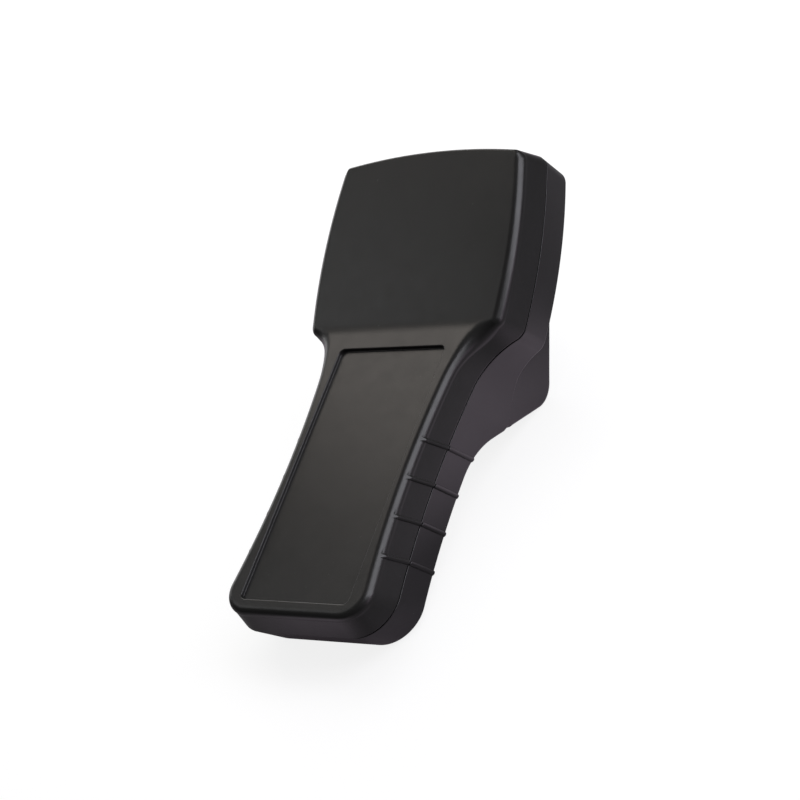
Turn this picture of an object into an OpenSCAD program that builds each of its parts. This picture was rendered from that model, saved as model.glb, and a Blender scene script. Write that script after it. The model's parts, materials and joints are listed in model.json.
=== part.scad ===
// Handheld enclosure: two moulded shells, folded at the neck, with a battery hump behind.
// Body frame: x across, y up the length from the fold line, z out of the display face.
// The finished part lies on its back, on the hump's peak and the end of the handle.

/* [Head] */
// Width of the head's front edge at its widest
head_w = 104.8; // [98:0.2:112]
// Height of the bowed top edge above the fold line
head_h = 78.7; // [72:0.2:88]
// Height of the widest place above the fold line
head_widest = 28.3; // [22:0.1:36]
// Radius of the head's bowed sides
head_side_r = 256; // [220:1:400]
// Radius of the bowed top edge
head_top_r = 311; // [240:1:500]
// Corner radius of the head in plan
corner_r = 4.8; // [4.6:0.1:7]

/* [Shoulder] */
// Radius of the sweep from the head's lower corner into the handle
shoulder_r = 33; // [28:0.5:36]
// Distance below the fold line where that sweep ends
shoulder_end = 24.8; // [22:0.1:28]
// Growth of the front edge's radius along that sweep
shoulder_swell = 3; // [0:0.1:4]

/* [Handle] */
// Width of the handle's front edge at its waist
waist_w = 66.8; // [60:0.2:72]
// Distance of the waist below the fold line
waist_below = 63.7; // [55:0.1:75]
// Radius of the handle's hollow sides
handle_side_r = 388; // [330:1:600]
// Length of the handle below the fold line
handle_len = 133; // [128:0.2:150]
// Corner radius of the handle's end in plan
heel_r = 13.5; // [8:0.5:16]
// Angle by which the handle folds forward
fold_angle = 15.9; // [8:0.1:20]
// Radius of the fold on the front face
fold_r = 22; // [6:0.5:30]

/* [Shells] */
// Depth of the front shell, from its face to the parting line
front_depth = 14.4; // [12:0.1:18]
// Depth of the whole head
head_depth = 31.9; // [29:0.1:38]
// Depth of the whole handle
handle_depth = 33.2; // [30:0.1:38]
// Wall thickness of both shells
wall = 2.4; // [2:0.1:3]
// Outward lean of the front shell's sides, at the parting line
flare = 2.6; // [1:0.1:3.4]
// Further outward lean of the end wall at the heel
heel_lean = 1.8; // [0:0.1:2.4]
// Inward lean of the rear shell's sides, at its back
rear_lean = 0.9; // [0.2:0.1:1.5]
// Step from the front shell's side in to the rear shell's side
rear_step = 0.1; // [0:0.1:0.8]
// Height of the shadow line between the shells
shadow_h = 0.7; // [0.3:0.1:1]
// Depth of the shadow line
shadow_d = 0.9; // [0.5:0.1:1.2]
// Clearance between the two rims
rim_clear = 0.1; // [0.05:0.05:0.3]
// Edge radius all round the front face
edge_r = 4; // [3:0.1:4.4]
// Radius of that edge along the top of the head
top_edge_r = 1; // [0.5:0.1:4]
// Edge radius all round the back
back_edge_r = 2; // [1:0.1:3]
// Edge radius inside both shells
inner_r = 1.4; // [0.8:0.1:1.8]

/* [Hump] */
// Distance of the hump's peak below the fold line
peak_below = 13.8; // [10:0.1:16]
// Depth of the hump's peak behind the display face
peak_depth = 63.4; // [56:0.2:66]
// Radius over the peak
peak_r = 10; // [6:0.5:12]
// Slope of the hump's back, from the peak up to the head
ramp_angle = 22.4; // [18:0.1:24]
// Slope of the sweep from the peak down to the handle
sweep_angle = 52; // [46:0.1:56]
// Radius where the sweep runs out on the handle
foot_r = 40; // [20:1:60]
// Radius where the hump's back runs out on the head
toe_r = 25; // [15:1:40]
// Slope of the neck's ledge beside the hump
ledge_angle = 8; // [3:0.1:10]
// Angle at which the hump widens towards the head
flank_flare = 4.6; // [2:0.1:8]
// Inward lean of the hump's flanks
flank_draft = 2; // [1:0.1:4]
// Radius of the hump's long edges
hump_edge_r = 2.4; // [1.5:0.1:4]

/* [Keypad recess] */
// Width of the recess
recess_w = 56; // [40:0.2:58]
// Distance of its upper edge below the fold line
recess_top = 9.8; // [6:0.1:20]
// Distance of its lower edge below the fold line
recess_end = 124.4; // [100:0.2:125]
// Depth of the recess
recess_d = 1.7; // [0.6:0.1:1.8]
// Thickness of the floor under it
recess_floor_t = 1.4; // [1:0.1:1.8]
// Corner radius of the recess
recess_r = 2.6; // [1:0.1:5]

/* [Grip ribs] */
// Number of ribs on each side
rib_count = 4; // [2:1:4]
// Distance of the first rib below the fold line
rib_first = 52.4; // [50:0.1:58]
// Pitch of the ribs
rib_pitch = 16.9; // [12:0.05:18]
// Width of a rib
rib_w = 2; // [1.5:0.1:4]
// Height of a rib
rib_h = 0.8; // [0.4:0.1:1.5]

/* [Case screws] */
// Half spacing of the head's screws
head_screw_x = 39; // [34:0.2:40]
// Height of the head's screws above the fold line
head_screw_y = 68.6; // [66:0.1:69]
// Half spacing of the grip's screws
grip_screw_x = 25; // [20:0.2:26]
// Distance of the grip's screws below the fold line
grip_screw_y = 61; // [58:0.2:66]
// Half spacing of the screws at the handle's end
heel_screw_x = 26; // [20:0.2:28]
// Distance of the handle's end screws below the fold line
heel_screw_y = 117; // [105:0.2:118]
// Diameter of the screw's shank
screw_d = 3; // [2.5:0.1:3.2]
// Diameter of the screw's head
screw_head_d = 5.6; // [5:0.1:6]
// Height of the screw's head
screw_head_h = 2.2; // [1.8:0.1:2.6]
// Length of the screw's thread in the front shell
thread_len = 7; // [5:0.5:8]
// Depth of the counterbore from the back
counterbore_d = 6; // [4:0.5:8]
// Clearance round a shank, a head or a thread
screw_clear = 0.2; // [0.1:0.05:0.4]
// Wall of a boss round its bore
boss_wall = 1.5; // [1.2:0.1:1.8]

/* [Battery bay] */
// Clearance round the cells
cell_clear = 0.5; // [0.3:0.1:1]
// Number of cells side by side
cell_count = 4; // [2:1:4]
// Diameter of a cell
cell_d = 14.5; // [10.5:0.1:14.5]
// Length of a cell
cell_len = 50.5; // [40:0.1:50.5]
// Room at each end of the cells for the contacts
contact_room = 3; // [2.5:0.1:3]
// Wall of the bay
bay_wall = 1.6; // [1.2:0.1:2]
// Distance of the bay's lower end up the slope from the peak
bay_start = 6.8; // [6.6:0.1:7.2]
// Thickness of the battery cover
cover_t = 2; // [1.5:0.1:2.2]
// Width of the seat under the cover's edge
cover_seat = 1.4; // [1:0.1:1.5]
// Gap round the cover
cover_gap = 0.25; // [0.15:0.05:0.4]
// Corner radius of the cover
cover_r = 3; // [2:0.1:4]
// Length of the cover's lug for its screw
lug_l = 7.5; // [7:0.1:8]
// Width of the post under that lug
lug_w = 7; // [6:0.1:9]
// Width of each tab at the cover's upper end
tab_w = 9; // [6:0.5:12]
// Thickness of a tab
tab_t = 1.2; // [1:0.1:1.5]
// Reach of a tab past the cover's edge
tab_reach = 1.2; // [0.8:0.1:1.4]
// Diameter of the cover's screw
cover_screw_d = 2.5; // [2:0.1:2.6]
// Diameter of its head
cover_head_d = 4.6; // [4:0.1:5]
// Depth of the sink for its head
cover_sink = 1.2; // [1:0.1:1.3]
// Height of its head
cover_head_h = 1; // [0.6:0.1:1]
// Reach of its thread below its head
cover_thread_len = 8; // [6:0.5:11]
// Number of finger grooves in the cover
grip_count = 5; // [3:1:7]
// Distance of the first groove from the cover's upper edge
grip_first = 6; // [5:0.5:10]
// Pitch of the grooves
grip_pitch = 2.4; // [2:0.1:3]
// Length of a groove
grip_w = 22; // [15:1:30]
// Width of a groove
grip_t = 1; // [0.6:0.1:1.4]
// Depth of a groove
grip_d = 0.6; // [0.3:0.1:0.8]
// Thickness of the contact plates
contact_t = 0.4; // [0.3:0.05:0.5]
// Width of a contact plate
contact_w = 11; // [8:0.5:12]
// Height of a contact plate
contact_h = 9; // [7:0.5:11]
// Wire of the contact springs
spring_wire = 0.7; // [0.5:0.05:0.8]
// Free length of a contact spring
spring_len = 7; // [5:0.5:9]
// Turns of a contact spring
spring_turns = 4; // [3:1:5]
// Radius of a contact spring at its base
spring_base_r = 4; // [3:0.1:4.5]
// Radius of a contact spring at its tip
spring_tip_r = 2; // [1.5:0.1:2.5]

/* [Hidden] */
$fn = 48;
charcoal = [0.19, 0.19, 0.19];
back_tone = [0.17, 0.165, 0.175];
steel = [0.72, 0.72, 0.74];
// Smallest step between neighbouring points of a surface
hair = 0.05;
// Cross slot of a screw, as shares of its head's width and height
slot_l = 0.62;
slot_w = 0.17;
slot_d = 0.55;

// Outline insets of the rear shell's side, at the parting line and at the back
rear_top_in = rear_step - flare;
rear_back_in = rear_top_in + rear_lean;

// Heights along the length: two lines that meet at c with slopes a1 and a2, rounded by r
function corner_z(y, c, a1, a2, r) =
    let (way = sign(a2 - a1),
         run = r * tan(abs(a2 - a1) / 2),
         y1 = c[0] - run * cos(a1),
         y2 = c[0] + run * cos(a2),
         oy = y1 - way * r * sin(a1),
         oz = c[1] - run * sin(a1) + way * r * cos(a1))
    y <= y1 ? c[1] + (y - c[0]) * tan(a1) :
    y >= y2 ? c[1] + (y - c[0]) * tan(a2) :
    oz - way * sqrt(r * r - pow(y - oy, 2));
function lines_meet(p, a, q, b) =
    let (y = (q[1] - p[1] + p[0] * tan(a) - q[0] * tan(b)) / (tan(a) - tan(b)))
    [y, p[1] + (y - p[0]) * tan(a)];

peak = [-peak_below, -peak_depth];
foot = lines_meet([0, -handle_depth], -fold_angle, peak, -sweep_angle);
toe = lines_meet(peak, ramp_angle, [0, -head_depth], 0);
front_z = function (y) corner_z(y, [0, 0], -fold_angle, 0, fold_r);
core_z = function (y)
    y < (foot[0] + peak[0]) / 2 ? corner_z(y, foot, -fold_angle, -sweep_angle, foot_r) :
    y < (peak[0] + toe[0]) / 2 ? corner_z(y, peak, -sweep_angle, ramp_angle, peak_r) :
    corner_z(y, toe, ramp_angle, 0, toe_r);
ledge_z = function (y) corner_z(y, [0, -head_depth], ledge_angle, 0, fold_r);

// The back edge follows the ledge beside the hump, and the hump's own back elsewhere
back_z = function (y) max(core_z(y), ledge_z(y));
function hump_rise(y) = back_z(y) - core_z(y);

// Plan outline of the right half, from the handle's end to the middle of the top: x, y, normal
function circles_meet(a, ra, b, rb, side) =
    let (len = norm(b - a),
         u = (b - a) / len,
         t = (ra * ra - rb * rb + len * len) / (2 * len),
         h = sqrt(ra * ra - t * t))
    a + t * u + side * h * [-u[1], u[0]];
function bearing(v) = atan2(v[1], v[0]);
function turn(a) = a < 0 ? a + 360 : a;
function arc(c, r, a0, a1, n, way) =
    [for (i = [1:n]) let (a = a0 + (a1 - a0) * i / n)
        [c[0] + r * cos(a), c[1] + r * sin(a), way * cos(a), way * sin(a)]];
function spread(a, b, n) = [for (i = [1:n]) a + (b - a) * i / n];

hand_o = [waist_w / 2 + handle_side_r, -waist_below];
head_o = [head_w / 2 - head_side_r, head_widest];
top_o = [0, head_h - head_top_r];
heel_y = heel_r - handle_len;
heel_o = [hand_o[0] - sqrt(pow(handle_side_r + heel_r, 2) - pow(heel_y - hand_o[1], 2)), heel_y];
heel_turn = bearing(hand_o - heel_o);
sweep_turn = asin((waist_below - shoulder_end) / handle_side_r);
sweep_o = hand_o + (handle_side_r - shoulder_r) * [-cos(sweep_turn), sin(sweep_turn)];
low_o = circles_meet(sweep_o, shoulder_r + corner_r, head_o, head_side_r - corner_r, -1);
high_o = circles_meet(head_o, head_side_r - corner_r, top_o, head_top_r - corner_r, 1);

rib_ys = [for (i = [0:rib_count - 1]) -rib_first - i * rib_pitch];
rib_marks = [-1, -0.55, 0, 0.55, 1] * rib_w / 2;
function rib(y) = max([for (c = rib_ys) rib_h * sqrt(max(0, 1 - pow(2 * (y - c) / rib_w, 2)))]);
hand_low = heel_o[1] + heel_r * sin(heel_turn);
hand_ys = concat(
    spread(hand_low, rib_ys[rib_count - 1] - rib_w, 3),
    [for (i = [rib_count - 1:-1:0], m = concat(rib_marks, i > 0 ? [rib_pitch / 2] : [])) rib_ys[i] + m],
    spread(rib_ys[0] + rib_w / 2, -shoulder_end, 8));
function hand_point(y) =
    let (d = y - hand_o[1], x = sqrt(handle_side_r * handle_side_r - d * d))
    [hand_o[0] - x, y, x / handle_side_r, -d / handle_side_r];

outline = concat(
    [[heel_o[0], -handle_len, 0, -1]],
    arc(heel_o, heel_r, -90, heel_turn, 6, 1),
    [for (y = hand_ys) hand_point(y)],
    arc(sweep_o, shoulder_r, 180 - sweep_turn, turn(bearing(low_o - sweep_o)), 11, -1),
    arc(low_o, corner_r, bearing(sweep_o - low_o), bearing(low_o - head_o), 5, 1),
    arc(head_o, head_side_r, bearing(low_o - head_o), bearing(high_o - head_o), 10, 1),
    arc(high_o, corner_r, bearing(high_o - head_o), bearing(high_o - top_o), 5, 1),
    arc(top_o, head_top_r, bearing(high_o - top_o), 90, 8, 1));
half = len(outline);
loop = 2 * half - 1;

// Half width of the hump at its base: flush with the side wall where the shoulder ends
function hump_x(y) =
    hand_point(-shoulder_end)[0] - rear_back_in + (y + shoulder_end) * tan(flank_flare);
// Radius of the back edge, at most this share of the ledge: it dies out where the hump's flank
// comes flush with the side wall
ledge_share = 0.8;
back_r = function (p)
    let (ledge_w = p[0] - rear_back_in * p[2] - hump_x(p[1]),
         free = 1 - min(1, hump_rise(p[1]) / (2 * back_edge_r)))
    max(hair, back_edge_r * free, min(back_edge_r, ledge_share * ledge_w));
// Radius of the front edge: it swells along the shoulder's sweep, most of all near the top of it, and
// shrinks round the head's upper corners
swell_skew = 2.5;
top_skew = 4;
sweep_slope = sin(sweep_turn);
top_slope = sin(bearing(low_o - sweep_o));
sweep_top = sweep_o[1] + shoulder_r * top_slope;
front_r = function (p)
    let (on_sweep = p[1] > -shoulder_end && p[1] < sweep_top,
         t = min(1, max(0, (-p[3] - sweep_slope) / (top_slope - sweep_slope))))
    edge_r + (on_sweep ? shoulder_swell * sin(180 * pow(t, swell_skew)) : 0)
    - (edge_r - top_edge_r) * pow(max(0, p[3]), top_skew);
inner_front_r = function (p) max(inner_r, front_r(p) - edge_r + inner_r);
// Outline of the front face: drawn in at the heel, whose end wall leans more than the sides
face_outline = [for (p = outline) let (s = p[1] < -shoulder_end ? heel_lean * pow(min(0, p[3]), 2) : 0)
    [p[0] - s * p[2], p[1] - s * p[3], p[2], p[3]]];

// A closed ring round the part: inset from the outline, height from a function of y, with a share
// of the ribs, and of an edge's radius inwards and upwards
function ring(inset, zf, lift, ribbing = 0, round_in = 0, round_up = 0, rf = back_r, path = outline) =
    let (right = [for (p = path)
                     let (r = rf(p),
                          s = inset + round_in * r - ribbing * rib(p[1]),
                          y = p[1] - s * p[3])
                     [p[0] - s * p[2], y, zf(y) + lift + round_up * r]])
    concat(right, [for (i = [half - 2:-1:0]) [-right[i][0], right[i][1], right[i][2]]]);

// Faces: bands between successive rings, and a ladder of rungs across the first and last ring
function band_faces(k) =
    [for (i = [0:loop - 1]) let (a = k * loop + i, b = k * loop + (i + 1) % loop)
        each [[a, b, b + loop], [a, b + loop, a + loop]]];
function flip(faces) = [for (f = faces) [f[2], f[1], f[0]]];
function plain_cap(base) = concat(
    [for (i = [0:half - 3]) let (r = base + i, l = base + loop - 1 - i)
        each [[r, l, r + 1], [l, l - 1, r + 1]]],
    [[base + half - 2, base + half, base + half - 1]]);

// Rungs over the hump: four extra points a side, at the flank's base, its top and round its edge
rung_gap = 1.2;
rung_share = 0.1;
rung_n = 8;
function rung(p, lift, inset) =
    let (y = p[1],
         rise = hump_rise(y),
         r = min(hump_edge_r, rise / 2),
         gap = hair + min(rung_gap, p[0] * rung_share) * (1 - min(1, rise / hump_edge_r)),
         x1 = min(hump_x(y) - inset, p[0] - gap),
         x2 = x1 - rise * tan(flank_draft) - gap,
         x3 = x2 - r * (1 - cos(45)) - gap,
         x4 = x2 - r - 2 * gap,
         z = core_z(y) + lift)
    [[x1, y, back_z(y) + lift], [x2, y, z + r], [x3, y, z + r * (1 - sin(45))], [x4, y, z]];
function rung_points(edge, lift, inset) =
    [for (i = [1:half - 2]) let (right = rung(edge[i], lift, inset))
        each concat(right, [for (k = [3:-1:0]) [-right[k][0], right[k][1], right[k][2]]])];
function rung_row(base, extra, i) =
    concat([base + i], [for (k = [0:rung_n - 1]) extra + (i - 1) * rung_n + k], [base + loop - 1 - i]);
function rung_cap(base, extra) =
    let (first = rung_row(base, extra, 1), last = rung_row(base, extra, half - 2), m = rung_n / 2)
    concat(
        [for (k = [0:m - 1]) [base, first[k + 1], first[k]]],
        [[base, base + loop - 1, first[m]], [base + loop - 1, first[m + 1], first[m]]],
        [for (k = [m + 1:rung_n]) [base + loop - 1, first[k + 1], first[k]]],
        [for (i = [1:half - 3]) let (a = rung_row(base, extra, i), b = rung_row(base, extra, i + 1))
            each [for (k = [0:rung_n]) each [[a[k], a[k + 1], b[k]], [a[k + 1], b[k + 1], b[k]]]]],
        [for (k = [0:rung_n]) [last[k], last[k + 1], base + half - 1]]);

// Ring round the front edge: a is the angle over the edge
function face_ring(inset, lift, a, ribbing = 0, rf = front_r) =
    ring(inset, front_z, lift, ribbing, 1 - sin(a), cos(a) - 1, rf, face_outline);

// Rings of the front shell, from its face over the edge to the rim, and back inside.
// The ribs die out over the edge, the sooner the larger this is.
rib_fade = 4;
front_rings = concat(
    [for (a = [0:22.5:90]) face_ring(0, 0, a, max(0, 1 + rib_fade * (sin(a) - 1)))],
    [ring(-flare, front_z, -front_depth, 1),
     ring(wall - flare, front_z, -front_depth)],
    [for (a = [90, 45, 0]) face_ring(wall, -wall, a, 0, inner_front_r)]);
front_points = [for (r = front_rings) each r];
front_last = len(front_rings) - 1;
front_faces = concat(plain_cap(0), flip(plain_cap(front_last * loop)),
                     [for (k = [0:front_last - 1]) each band_faces(k)]);

// Rings of the rear shell, from its floor up inside to the rim, and down outside to its back
rear_rings = [
    ring(rear_back_in + wall + inner_r, back_z, wall),
    ring(rear_back_in + wall + inner_r * (1 - cos(45)), back_z, wall + inner_r * (1 - sin(45))),
    ring(rear_back_in + wall, back_z, wall + inner_r),
    ring(rear_top_in + wall, front_z, -front_depth - rim_clear),
    ring(rear_top_in + shadow_d, front_z, -front_depth - rim_clear),
    ring(rear_top_in + shadow_d, front_z, -front_depth - shadow_h),
    ring(rear_top_in, front_z, -front_depth - shadow_h, 1),
    ring(rear_back_in, back_z, 0, 1, 0, 1),
    ring(rear_back_in, back_z, 0, 1, 1 - cos(45), 1 - sin(45)),
    ring(rear_back_in, back_z, 0, 0, 1, 0)];
rear_last = len(rear_rings) - 1;
floor_rungs = rung_points(rear_rings[0], wall, wall);
back_rungs = rung_points(rear_rings[rear_last], 0, 0);
rear_ring_points = [for (r = rear_rings) each r];
rear_points = concat(rear_ring_points, floor_rungs, back_rungs);
floor_extra = len(rear_ring_points);
back_extra = floor_extra + len(floor_rungs);
rear_faces = concat(rung_cap(0, floor_extra), flip(rung_cap(rear_last * loop, back_extra)),
                    [for (k = [0:rear_last - 1]) each band_faces(k)]);

// Rest: tip the body until the hump's peak and the handle's end stand on the same floor
heel_points = [for (k = [rear_last - 2:rear_last]) rear_rings[k][0]];
function tip_to(e) = max([for (p = back_rungs) atan2(e[2] - p[2], p[1] - e[1])]);
rest_tilt = min([for (e = heel_points) tip_to(e)]);
function rest_y(p) = p[1] * cos(rest_tilt) - p[2] * sin(rest_tilt);
function rest_z(p) = p[1] * sin(rest_tilt) + p[2] * cos(rest_tilt);
rest_ys = [for (p = concat(front_points, rear_points)) rest_y(p)];
rest_mid = (min(rest_ys) + max(rest_ys)) / 2;
rest_floor = min([for (p = rear_points) rest_z(p)]);
module at_rest()
    translate([0, -rest_mid, -rest_floor]) rotate([rest_tilt, 0, 0]) children();

// Screw places: x, y, slope of the faces there
screw_spots = [for (s = [-1, 1]) each [[s * head_screw_x, head_screw_y, 0],
                                       [s * grip_screw_x, -grip_screw_y, fold_angle],
                                       [s * heel_screw_x, -heel_screw_y, fold_angle]]];
bore_r = screw_d / 2 + screw_clear;
head_bore_r = screw_head_d / 2 + screw_clear;
thread_r = screw_d / 2 - screw_clear;
boss_r = head_bore_r + boss_wall;
post_r = screw_d / 2 + boss_wall;
function seat_z(p) = core_z(p[1]) + counterbore_d;
function part_z(p) = front_z(p[1]) - front_depth;

// A post along z at a screw's place, cut to the slope of the faces at its ends
module sloped_post(p, r, z0, z1)
    translate([p[0], p[1], 0])
        difference() {
            translate([0, 0, z0 - r]) cylinder(r = r, h = z1 - z0 + 2 * r);
            translate([0, 0, z1]) rotate([-p[2], 0, 0]) translate([-r * 2, -r * 2, 0]) cube(r * 4);
            translate([0, 0, z0]) rotate([-p[2], 0, 0]) translate([-r * 2, -r * 2, -r * 4]) cube(r * 4);
        }
module bore_at(p, r, z0, z1)
    translate([p[0], p[1], z0]) cylinder(r = r, h = z1 - z0);

module rounded_plate(w, l, t, r)
    linear_extrude(t) {
        square([w - 2 * r, l], center = true);
        square([w, l - 2 * r], center = true);
        for (x = [-1, 1], y = [-1, 1])
            translate([x * (w / 2 - r), y * (l / 2 - r)]) circle(r);
    }

// Keypad recess, sunk square to the handle's face
recess_mid = (recess_top + recess_end) / 2;
recess_l = (recess_end - recess_top) / cos(fold_angle);
module at_recess(depth)
    translate([0, -recess_mid, front_z(-recess_mid)]) rotate([-fold_angle, 0, 0])
        translate([0, 0, -depth]) children();
module keypad_recess()
    at_recess(recess_d) rounded_plate(recess_w, recess_l, recess_d + wall, recess_r);
// Thicker floor behind the recess, inside the shell
floor_mid = (wall + recess_d) / 2;
module recess_floor()
    let (t = recess_floor_t)
        at_recess(recess_d + t)
            rounded_plate(recess_w + 2 * t, recess_l + 2 * t, recess_d + t - floor_mid, recess_r + t);

module front_shell()
    color(charcoal) at_rest()
        difference() {
            union() {
                polyhedron(front_points, front_faces, convexity = 8);
                recess_floor();
                for (p = screw_spots)
                    sloped_post(p, post_r, part_z(p), front_z(p[1]) - floor_mid);
            }
            keypad_recess();
            for (p = screw_spots)
                bore_at(p, thread_r + screw_clear / 2, part_z(p) - boss_r,
                        part_z(p) + thread_len + screw_clear);
        }

// Battery bay, square to the hump's sloping back: its local z points into the part
cells_w = cell_count * cell_d + cell_clear;
cells_l = cell_len + 2 * contact_room;
cover_w = cells_w + 2 * cover_seat;
cover_l = cells_l + 2 * cover_seat + lug_l;
bay_w = cover_w + 2 * bay_wall;
bay_l = cover_l + 2 * bay_wall;
bay_mid = bay_start + bay_l / 2;
bay_deep = cover_t + cell_d + cell_clear;
pocket_y = lug_l / 2;
lug_y = (lug_l - cover_l) / 2;
skin = wall * cos(ramp_angle);
module on_hump()
    translate([0, peak[0] + bay_mid * cos(ramp_angle), peak[1] + bay_mid * sin(ramp_angle)])
        rotate([ramp_angle, 0, 0]) children();
module block(w, l, y, z0, z1)
    translate([-w / 2, y - l / 2, z0]) cube([w, l, z1 - z0]);

// Two tabs at the cover's upper end hook under the skin of the hump
tab_root = pocket_y + cells_l / 2 - tab_t;
module tabs(grow, far)
    for (s = [-1, 1])
        translate([s * cells_w / 4 - tab_w / 2 - grow, tab_root - grow, skin + cover_gap - grow])
            cube([tab_w + 2 * grow, far - tab_root + grow, tab_t + 2 * grow]);
module tab_stems()
    for (s = [-1, 1])
        translate([s * cells_w / 4 - tab_w / 2, tab_root, cover_t / 2])
            cube([tab_w, tab_t, skin + cover_gap + tab_t - cover_t / 2]);
module cover_bore(d, z0, z1)
    translate([0, lug_y, z0]) cylinder(d = d, h = z1 - z0);

module rear_shell()
    color(back_tone) at_rest()
        difference() {
            union() {
                polyhedron(rear_points, rear_faces, convexity = 10);
                for (p = screw_spots)
                    sloped_post(p, boss_r, core_z(p[1]) + wall / 2, part_z(p) - rim_clear);
                on_hump() block(bay_w, bay_l, 0, skin / 2, bay_deep + bay_wall);
            }
            for (p = screw_spots) {
                bore_at(p, bore_r, core_z(p[1]) - boss_r, part_z(p) + boss_r);
                bore_at(p, head_bore_r, core_z(p[1]) - boss_r, seat_z(p));
            }
            on_hump() {
                translate([0, 0, -wall]) rounded_plate(cover_w + 2 * cover_gap, cover_l + 2 * cover_gap,
                                                       wall + cover_t, cover_r + cover_gap);
                block(cells_w, cells_l, pocket_y, 0, bay_deep);
                for (s = [-1, 1])
                    translate([s * (cells_w + lug_w) / 4, lug_y, 0])
                        block((cells_w - lug_w) / 2, lug_l - bay_wall, -bay_wall / 2, 0, bay_deep);
                tabs(cover_gap, bay_l / 2 + bay_wall);
                cover_bore(cover_screw_d - screw_clear, 0, bay_deep);
            }
        }

module battery_cover()
    color(charcoal) at_rest() on_hump()
        difference() {
            union() {
                rounded_plate(cover_w, cover_l, cover_t, cover_r);
                tabs(0, cover_l / 2 + tab_reach);
                tab_stems();
            }
            cover_bore(cover_screw_d + 2 * screw_clear, -cover_t, 2 * cover_t);
            cover_bore(cover_head_d + 2 * screw_clear, -cover_t, cover_sink);
            for (i = [0:grip_count - 1])
                translate([0, cover_l / 2 - grip_first - i * grip_pitch, 0])
                    block(grip_w, grip_t, 0, -cover_t, grip_d);
        }

// A screw along z with its head's underside at z = 0, cross-slotted from below
module screw(head_d, head_h, shank_r, shank_l, core_r, core_l)
    difference() {
        union() {
            translate([0, 0, -head_h]) cylinder(d = head_d, h = head_h);
            translate([0, 0, -head_h / 2]) cylinder(r = shank_r, h = shank_l + head_h / 2);
            cylinder(r = core_r, h = core_l);
        }
        for (a = [0, 90])
            rotate([0, 0, a]) block(head_d * slot_l, head_d * slot_w, 0, -2 * head_h, head_h * (slot_d - 1));
    }

// The full shank ends short of the front shell's sloped post
module case_screw(p)
    let (reach = part_z(p) - rim_clear - seat_z(p))
        translate([p[0], p[1], seat_z(p)])
            screw(screw_head_d, screw_head_h, screw_d / 2, reach - screw_d / 2 * tan(p[2]),
                  thread_r, reach + thread_len);
module case_screws()
    color(steel) at_rest() for (p = screw_spots) case_screw(p);

module cover_screw()
    color(steel) at_rest() on_hump()
        translate([0, lug_y, cover_sink])
            screw(cover_head_d, cover_head_h, cover_screw_d / 2, cover_t - cover_sink,
                  cover_screw_d / 2 - screw_clear, cover_thread_len);

// Cells lie up the slope with alternate ends, so a spring and a plain plate alternate at each end
function cell_x(i) = (i - (cell_count - 1) / 2) * cell_d;
function end_y(e) = pocket_y + e * cells_l / 2;
contact_z = cover_t + cell_d / 2;
module contact_plate(x, e, w)
    translate([x - w / 2, end_y(e) - (e > 0 ? contact_t : 0), contact_z - contact_h / 2])
        cube([w, contact_t, contact_h]);
// Upper plates join cells in pairs, lower plates join the pairs and carry the two ends
module contact_plates()
    color(steel) at_rest() on_hump() {
        for (e = [-1, 1], i = [(e < 0 ? 1 : 0):2:cell_count - 2])
            contact_plate((cell_x(i) + cell_x(i + 1)) / 2, e, contact_w + cell_d);
        contact_plate(cell_x(0), -1, contact_w);
        contact_plate(cell_x(cell_count - 1), cell_count % 2 == 0 ? -1 : 1, contact_w);
    }

// A conical coil of round wire, swept along its own centre line
spring_facets = 14;
spring_sides = 6;
spring_steps = spring_facets * spring_turns;
function spring_at(t) =
    let (a = 360 * spring_turns * t, r = spring_base_r + (spring_tip_r - spring_base_r) * t)
    [r * cos(a), r * sin(a), spring_wire / 2 + (spring_len - spring_wire) * t];
function spring_ring(t) =
    let (c = spring_at(t), out = [c[0], c[1], 0] / norm([c[0], c[1]]))
    [for (k = [0:spring_sides - 1]) let (a = 360 * k / spring_sides)
        c + spring_wire / 2 * (cos(a) * out + sin(a) * [0, 0, 1])];
spring_points = [for (i = [0:spring_steps]) each spring_ring(i / spring_steps)];
spring_faces = concat(
    [[for (k = [spring_sides - 1:-1:0]) k]],
    [[for (k = [0:spring_sides - 1]) spring_steps * spring_sides + k]],
    [for (i = [0:spring_steps - 1], k = [0:spring_sides - 1])
        let (a = i * spring_sides + k, b = i * spring_sides + (k + 1) % spring_sides)
        each [[a, b, a + spring_sides], [b, b + spring_sides, a + spring_sides]]]);
module contact_springs()
    color(steel) at_rest() on_hump()
        for (i = [0:cell_count - 1])
            let (e = i % 2 == 0 ? 1 : -1)
                translate([cell_x(i), end_y(e) - e * contact_t, contact_z]) rotate([e * 90, 0, 0])
                    polyhedron(spring_points, spring_faces);

front_shell();
rear_shell();
case_screws();
battery_cover();
cover_screw();
contact_springs();
contact_plates();
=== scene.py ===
import json
import math

import bmesh
import bpy
import numpy as np
from mathutils import Matrix, Vector
from mathutils.geometry import delaunay_2d_cdt


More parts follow.
